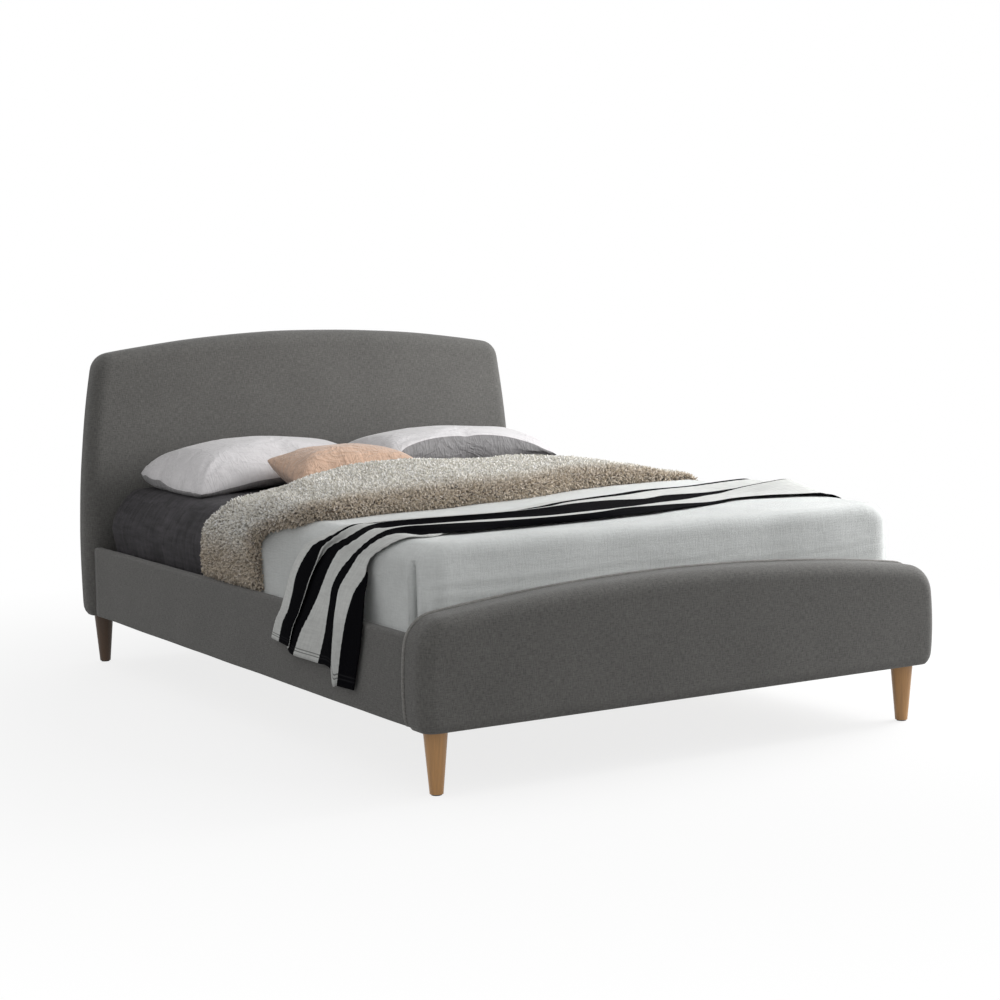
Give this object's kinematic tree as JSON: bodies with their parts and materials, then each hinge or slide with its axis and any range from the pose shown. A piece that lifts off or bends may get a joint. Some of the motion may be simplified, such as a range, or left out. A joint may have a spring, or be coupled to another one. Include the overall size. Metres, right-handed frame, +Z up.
{
  "type": "upholstered bed",
  "caption": "Upholstered double bed with a crowned padded headboard, low footboard, tapered wooden legs and slats, made up with mattress, cover, throws and pillows.",
  "frame": {"origin": "on the floor under the middle of the bed", "axes": "+X to the right seen from the foot, +Y from foot to head, +Z up"},
  "size_m": [1.488, 2.114, 0.979],
  "materials": {
    "upholstery": "mid-grey woven upholstery cloth",
    "padding_foam": "cut upholstery foam",
    "back_cloth": "black non-woven back cloth",
    "frame_wood": "raw board and softwood",
    "slat_wood": "planed pine",
    "leg_wood": "turned, clear satin lacquer",
    "bracket_steel": "zinc-plated steel",
    "foot_plastic": "black nylon",
    "webbing": "woven tape",
    "mattress_ticking": "quilted ticking",
    "sheet_cloth": "charcoal cotton",
    "cover_cloth": "pale washed cotton",
    "pile_cloth": "speckled deep pile",
    "striped_cloth": "flat weave with dark stripes",
    "pillow_satin": "grey satin",
    "cushion_cloth": "terracotta brushed cloth"
  },
  "bodies": {
    "frame": {"headboard_cover": "upholstery", "footboard_cover": "upholstery", "left_side_rail_cover": "upholstery", "right_side_rail_cover": "upholstery", "headboard_padding": "padding_foam", "footboard_padding": "padding_foam", "headboard_back_cloth": "back_cloth", "headboard_panel": "frame_wood", "footboard_panel": "frame_wood", "left_side_rail": "frame_wood", "right_side_rail": "frame_wood", "left_slat_ledge": "frame_wood", "right_slat_ledge": "frame_wood", "centre_rail": "frame_wood", "foot_centre_leg": "frame_wood", "head_centre_leg": "frame_wood", "slat_01": "slat_wood", "slat_02": "slat_wood", "slat_03": "slat_wood", "slat_04": "slat_wood", "slat_05": "slat_wood", "slat_06": "slat_wood", "slat_07": "slat_wood", "slat_08": "slat_wood", "slat_09": "slat_wood", "slat_10": "slat_wood", "slat_11": "slat_wood", "slat_12": "slat_wood", "slat_13": "slat_wood", "slat_14": "slat_wood", "front_left_leg": "leg_wood", "front_right_leg": "leg_wood", "rear_left_leg": "leg_wood", "rear_right_leg": "leg_wood", "rail_brackets": "bracket_steel", "rail_bracket_bolts": "bracket_steel", "leg_plates": "bracket_steel", "leg_hanger_bolts": "bracket_steel", "centre_rail_saddles": "bracket_steel", "leg_glides": "foot_plastic", "left_slat_webbing": "webbing", "right_slat_webbing": "webbing"},
    "bedding": {"mattress": "mattress_ticking", "fitted_sheet": "sheet_cloth", "bed_cover": "cover_cloth", "pile_throw": "pile_cloth", "striped_throw": "striped_cloth"},
    "left_pillow": {"left_pillow": "pillow_satin"},
    "right_pillow": {"right_pillow": "pillow_satin"},
    "cushion": {"cushion": "cushion_cloth"},
    "foot_screw_foot": {"foot_screw_foot": "foot_plastic"},
    "head_screw_foot": {"head_screw_foot": "foot_plastic"}
  },
  "joints": [
    {"name": "mattress_lift", "type": "slide", "parent": "frame", "child": "bedding", "axis": [0, 0, 1], "range_m": [0, 0.6]},
    {"name": "left_pillow_lift", "type": "slide", "parent": "bedding", "child": "left_pillow", "axis": [0, 0, 1], "range_m": [0, 0.3]},
    {"name": "right_pillow_lift", "type": "slide", "parent": "bedding", "child": "right_pillow", "axis": [0, 0, 1], "range_m": [0, 0.3]},
    {"name": "cushion_lift", "type": "slide", "parent": "left_pillow", "child": "cushion", "axis": [0, 0, 1], "range_m": [0, 0.25]},
    {"name": "foot_screw_height", "type": "slide", "parent": "frame", "child": "foot_screw_foot", "axis": [0, 0, 1], "range_m": [0, 0.01]},
    {"name": "head_screw_height", "type": "slide", "parent": "frame", "child": "head_screw_foot", "axis": [0, 0, 1], "range_m": [0, 0.01]}
  ]
}
